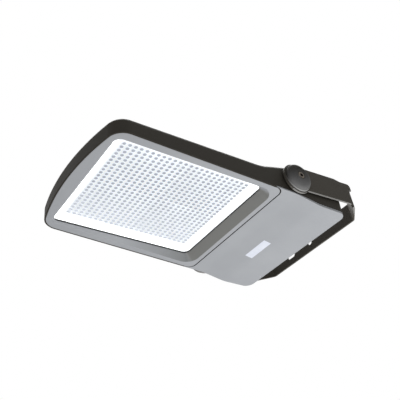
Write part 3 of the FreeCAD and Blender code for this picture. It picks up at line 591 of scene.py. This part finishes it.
def makeLensSheet(number):
    nodeName = "lens_plate_%d" % number
    low, high = headBox(nodeName)
    count = lensSheets["perSide"]
    for axis, which in enumerate(divmod(number - 1, 2)):
        pitch = lensSheets["pitch"][axis]
        start = lensSheets["first"][axis] + (which * count - 0.5) * pitch
        low[axis] = (start + lensSheets["gap"]) * mm
        high[axis] = (start + count * pitch - lensSheets["gap"]) * mm
    low.z -= lensSheets["drop"] * mm
    thick = lensSheets["thick"] * mm
    sheetLow = high.z - thick
    wide = high.x - low.x
    deep = high.y - low.y
    radius = lensSheets["lensRadius"] * mm
    height = sheetLow - low.z
    bm = bmesh.new()
    profile = [(radius * across, height * up) for across, up in lensSheets["lensProfile"]]
    spinProfile(bm, profile, (0, 0, -1), lensSheets["lensTurns"])
    bmesh.ops.translate(bm, vec=(low.x, low.y, sheetLow), verts=bm.verts)
    oneLens = bm.verts[:] + bm.edges[:] + bm.faces[:]
    for i in range(count):
        for j in range(count):
            copied = bmesh.ops.duplicate(bm, geom=oneLens)["geom"]
            place = (wide * (i + 0.5) / count, deep * (j + 0.5) / count, 0)
            bmesh.ops.translate(bm, vec=place, verts=vertsOf(copied))
    bmesh.ops.delete(bm, geom=vertsOf(oneLens), context="VERTS")
    for face in bm.faces:
        face.material_index = 1
    made = bmesh.ops.create_cube(bm, size=1)["verts"]
    bmesh.ops.scale(bm, vec=(wide, deep, thick), verts=made)
    middle = ((low.x + high.x) / 2, (low.y + high.y) / 2, (sheetLow + high.z) / 2)
    bmesh.ops.translate(bm, vec=middle, verts=made)
    edges = {edge for vert in made for edge in vert.link_edges}
    roundEdges(bm, list(edges), lensSheets["edge"] * mm, 1)
    bm.transform(headMatrix)
    piece = finishPiece("lensSheet%d" % number, bm, ["lensSheet", "lensDome"], "head", lensSheets["smooth"])
    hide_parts(nodeName)


for sheetNumber in range(1, 5):
    makeLensSheet(sheetNumber)
print("lens sheets made")


# Bare plate on the gear cover, laid on the cover's curve

coverPlate = {"from": (36.0, -11.6), "to": (54.2, 55.8), "below": 100.0, "clear": 0.1, "thick": 0.5,
              "rows": 8, "smooth": 35}


def makeCoverPlate():
    cover = BVHTree.FromObject(nodes["gear_cover"], bpy.context.evaluated_depsgraph_get())
    bm = bmesh.new()
    bmesh.ops.create_grid(bm, x_segments=coverPlate["rows"], y_segments=coverPlate["rows"], size=0.5)
    sizes = [(coverPlate["to"][i] - coverPlate["from"][i]) * mm for i in range(2)]
    middle = [(coverPlate["to"][i] + coverPlate["from"][i]) / 2 * mm for i in range(2)]
    bmesh.ops.scale(bm, vec=(*sizes, 1), verts=bm.verts)
    bmesh.ops.translate(bm, vec=(*middle, -coverPlate["below"] * mm), verts=bm.verts)
    bm.transform(headMatrix)
    up = headMatrix.to_3x3() @ Vector((0, 0, 1))
    for vert in bm.verts:
        spot = cover.ray_cast(vert.co, up)[0]
        vert.co = spot - up * coverPlate["clear"] * mm
    bmesh.ops.recalc_face_normals(bm, faces=bm.faces)
    bmesh.ops.solidify(bm, geom=list(bm.faces), thickness=coverPlate["thick"] * mm)
    piece = finishPiece("coverPlate", bm, ["plateFilm"], "head", coverPlate["smooth"])


makeCoverPlate()
print("cover plate made")


# Domed pivot caps, turned with a low rim and a sunk seat for the screw

pivotCaps = {"turns": 96, "slim": 0.8, "rim": 3.0, "soft": 1.2, "shoulder": 0.4, "recess": 8.4, "hole": 6.05,
             "seat": 4.0, "domeSteps": 16, "domePower": 2.7, "rimFacing": 0.3, "smooth": 35}


def makePivotCap(word, side):
    nodeName = "pivot_cap_" + word
    low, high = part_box(nodeName)
    middle = Vector(((low.x + high.x) / 2, 0, (low.z + high.z) / 2))
    slim, rim, soft, shoulder, recess, hole, seat = [
        pivotCaps[key] * mm for key in ("slim", "rim", "soft", "shoulder", "recess", "hole", "seat")]
    radius = (high.x - low.x) / 2 - slim
    base = low.y if side > 0 else -high.y
    top = (high.y if side > 0 else -low.y) - base
    foot = radius - soft - shoulder
    steps = pivotCaps["domeSteps"]
    power = pivotCaps["domePower"]
    profile = [(hole, 0), (radius, 0), (radius, rim - soft), (radius - soft, rim), (foot, rim)]
    for count in range(1, steps + 1):
        # a full curve, steep at the foot and flat towards the middle
        across = recess + soft + (foot - recess - soft) * math.cos(math.pi / 2 * count / steps)
        profile.append((across, rim + (top - rim) * (1 - (across / foot) ** power) ** (1 / power)))
    profile += [(recess, profile[-1][1] - soft), (recess, seat), (hole, seat), (hole, 0)]
    bm = bmesh.new()
    spinProfile(bm, profile, (0, side, 0), pivotCaps["turns"])
    # faces on the rim take the second material, with its painted highlight
    for face in bm.faces:
        spot = face.calc_center_median()
        onRim = math.hypot(spot.x, spot.z) > radius - soft and abs(face.normal.y) > pivotCaps["rimFacing"]
        face.material_index = int(onRim)
    bmesh.ops.translate(bm, vec=middle + Vector((0, side * base, 0)), verts=bm.verts)
    piece = finishPiece("pivotCap" + word.capitalize(), bm, ["capDomePaintedLight", "capRimHighlight"], "bracket",
                        pivotCaps["smooth"])
    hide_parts(nodeName)


makePivotCap("near", -1)
makePivotCap("far", 1)
print("pivot caps made")


# Socket screws: a knurled head with a six-sided socket, and a plain shank, along Z with the top at zero

pivotScrews = {"turns": 48, "head": 9.0, "shank": 6.0, "socket": 4.0, "deep": 5.0, "knurl": 0.12,
               "soft": 1.0, "softSteps": 3, "smooth": 25}
smallScrews = {"turns": 24, "head": 4.0, "shank": 2.5, "socket": 2.3, "deep": 2.2, "knurl": 0.08,
               "soft": 0.5, "softSteps": 3, "smooth": 25}
upright = 0.05  # most that a side face's normal leans along Z


def addSocketScrew(bm, sizes, radius, length):
    # radius and length in metres
    tall, shank, socket, deep, soft, knurl = [
        sizes[key] * mm for key in ("head", "shank", "socket", "deep", "soft", "knurl")]
    addDrum(bm, sizes["turns"], radius, -tall, tall)
    rounded = roundEdges(bm, atHeight(bm.edges, 0), soft, sizes["softSteps"])["faces"]
    sides = [face for face in bm.faces if abs(face.normal.z) < upright and face not in rounded]
    bmesh.ops.inset_individual(bm, faces=sides, thickness=knurl, depth=-knurl)
    bmesh.ops.delete(bm, geom=atHeight(bm.faces, 0), context="FACES_ONLY")
    ring = atHeight(bm.edges, 0)
    hexagon = bmesh.ops.create_circle(bm, cap_ends=False, segments=6, radius=socket)["verts"]
    mouth = list({edge for vert in hexagon for edge in vert.link_edges})
    bmesh.ops.bridge_loops(bm, edges=ring + mouth)
    walls = bmesh.ops.extrude_edge_only(bm, edges=mouth)["geom"]
    bmesh.ops.translate(bm, vec=(0, 0, -deep), verts=vertsOf(walls))
    bmesh.ops.edgeloop_fill(bm, edges=atHeight(bm.edges, -deep))
    addDrum(bm, sizes["turns"], shank, -length, length - tall)


def makePivotScrew(word, side):
    nodeName = "pivot_screw_" + word
    low, high = headBox(nodeName)
    bm = bmesh.new()
    addSocketScrew(bm, pivotScrews, (high.z - low.z) / 2, high.y - low.y)
    bm.transform(Matrix.Rotation(math.radians(-90 * side), 4, "X"))
    bmesh.ops.translate(bm, vec=(0, high.y if side > 0 else low.y, 0), verts=bm.verts)
    bm.transform(headMatrix)
    piece = finishPiece("pivotScrew" + word.capitalize(), bm, ["darkSteel"], "head", pivotScrews["smooth"])
    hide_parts(nodeName)


makePivotScrew("near", -1)
makePivotScrew("far", 1)
print("pivot screws made")


def islandBoxes(nodeName):
    # the corners of each loose part of a node in the untilted head
    bm = bmesh.new()
    bm.from_mesh(nodes[nodeName].data)
    bm.transform(headMatrix.inverted())
    bmesh.ops.remove_doubles(bm, verts=bm.verts, dist=weld)
    left = set(bm.verts)
    boxes = []
    while left:
        reached = [left.pop()]
        for vert in reached:
            for edge in vert.link_edges:
                other = edge.other_vert(vert)
                if other in left:
                    left.remove(other)
                    reached.append(other)
        boxes.append(corners([vert.co for vert in reached]))
    bm.free()
    return boxes


def makeSmallScrews(nodeName, name):
    whole = bmesh.new()
    for low, high in islandBoxes(nodeName):
        bm = bmesh.new()
        addSocketScrew(bm, smallScrews, (high.x - low.x) / 2, high.z - low.z)
        bmesh.ops.translate(bm, vec=((low.x + high.x) / 2, (low.y + high.y) / 2, high.z), verts=bm.verts)
        one = bpy.data.meshes.new("oneScrew")
        bm.to_mesh(one)
        bm.free()
        whole.from_mesh(one)
        bpy.data.meshes.remove(one)
    whole.transform(headMatrix)
    piece = finishPiece(name, whole, ["zincSteel"], "head", smallScrews["smooth"])
    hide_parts(nodeName)


makeSmallScrews("frame_screws", "frameScrews")
makeSmallScrews("cover_screws", "coverScrews")
print("small screws made")


# Gland nut with ribs and a rounded end, and the breather vent with slots round its cap, both along X

glandNut = {"turns": 36, "soft": 3.2, "softSteps": 4, "sunk": 0.6, "bore": 6.0, "smooth": 30}
breatherVent = {"turns": 24, "radius": 8.9, "cap": 6.0, "plug": 6.0, "soft": 1.8, "softSteps": 4, "sunk": 0.8,
                "land": 3.0, "dish": 0.6, "smooth": 30}
level = 0.99  # least that an end face's normal points along Z


def ribbedDrum(bm, sizes, radius, length):
    # a drum along Z from zero to its length, rounded at the top, with every other side face sunk
    turns = sizes["turns"]
    addDrum(bm, turns, radius, 0, length)
    roundEdges(bm, atHeight(bm.edges, length), sizes["soft"] * mm, sizes["softSteps"])
    sunk = []
    for face in bm.faces:
        spot = face.calc_center_median()
        count = round(math.atan2(spot.y, spot.x) / math.tau * turns - 0.5)
        if abs(face.normal.z) < upright and count % 2:
            sunk.append(face)
    depth = sizes["sunk"] * mm
    bmesh.ops.inset_individual(bm, faces=sunk, thickness=depth / 2, depth=-depth)
    return [face for face in bm.faces if abs(face.normal.z) > level and len(face.verts) == turns]


def layAlongX(bm, place):
    bm.transform(Matrix.Rotation(math.radians(90), 4, "Y"))
    bmesh.ops.translate(bm, vec=place, verts=bm.verts)
    bm.transform(headMatrix)


def makeGlandNut():
    low, high = headBox("gland_nut")
    bm = bmesh.new()
    caps = ribbedDrum(bm, glandNut, (high.y - low.y) / 2, high.x - low.x)
    for cap in caps:
        land = max(vert.co.xy.length for vert in cap.verts) - glandNut["bore"] * mm
        bmesh.ops.inset_region(bm, faces=[cap], thickness=land, use_even_offset=True)
    rings = list({edge for cap in caps for edge in cap.edges})
    bmesh.ops.delete(bm, geom=caps, context="FACES_ONLY")
    bmesh.ops.bridge_loops(bm, edges=rings)
    layAlongX(bm, (low.x, (low.y + high.y) / 2, (low.z + high.z) / 2))
    piece = finishPiece("glandNut", bm, ["blackNylon"], "head", glandNut["smooth"])
    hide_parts("gland_nut")


def makeBreatherVent():
    low, high = headBox("breather_vent")
    cap, radius, plug, land, dish = [
        breatherVent[key] * mm for key in ("cap", "radius", "plug", "land", "dish")]
    bm = bmesh.new()
    ends = ribbedDrum(bm, breatherVent, radius, cap)
    outer = [face for face in ends if face.normal.z > 0]
    bmesh.ops.inset_region(bm, faces=outer, thickness=land, use_even_offset=True)
    bmesh.ops.inset_region(bm, faces=outer, thickness=dish, depth=-dish, use_even_offset=True)
    length = high.x - low.x - cap
    addDrum(bm, breatherVent["turns"], plug, -length, length)
    layAlongX(bm, (high.x - cap, (low.y + high.y) / 2, (low.z + high.z) / 2))
    piece = finishPiece("breatherVent", bm, ["blackNylon"], "head", breatherVent["smooth"])
    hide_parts("breather_vent")


makeGlandNut()
makeBreatherVent()
print("gland nut and breather vent made")
